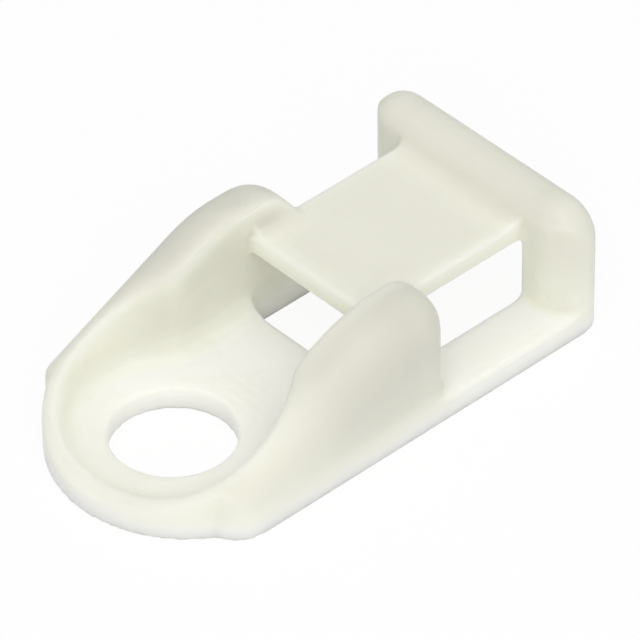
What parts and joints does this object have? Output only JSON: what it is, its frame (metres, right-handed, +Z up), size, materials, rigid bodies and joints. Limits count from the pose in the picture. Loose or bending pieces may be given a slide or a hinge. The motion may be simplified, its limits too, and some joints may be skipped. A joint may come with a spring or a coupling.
{
  "type": "cable tie mount",
  "caption": "Small screw-fixed cradle mount that holds a cable bundle with a tie passed under its saddle, one moulded plastic piece.",
  "frame": {"origin": "the screw hole's axis, on the flat underside", "axes": "+Z up out of the mounting surface along the screw hole, +X from the screw hole to the end wall, +Y along the bundle"},
  "size_m": [0.0224, 0.0118, 0.006],
  "materials": {
    "tie_mount": "satin natural nylon, milky and slightly translucent"
  },
  "bodies": {
    "root": {"tie_mount": "tie_mount"}
  },
  "joints": []
}
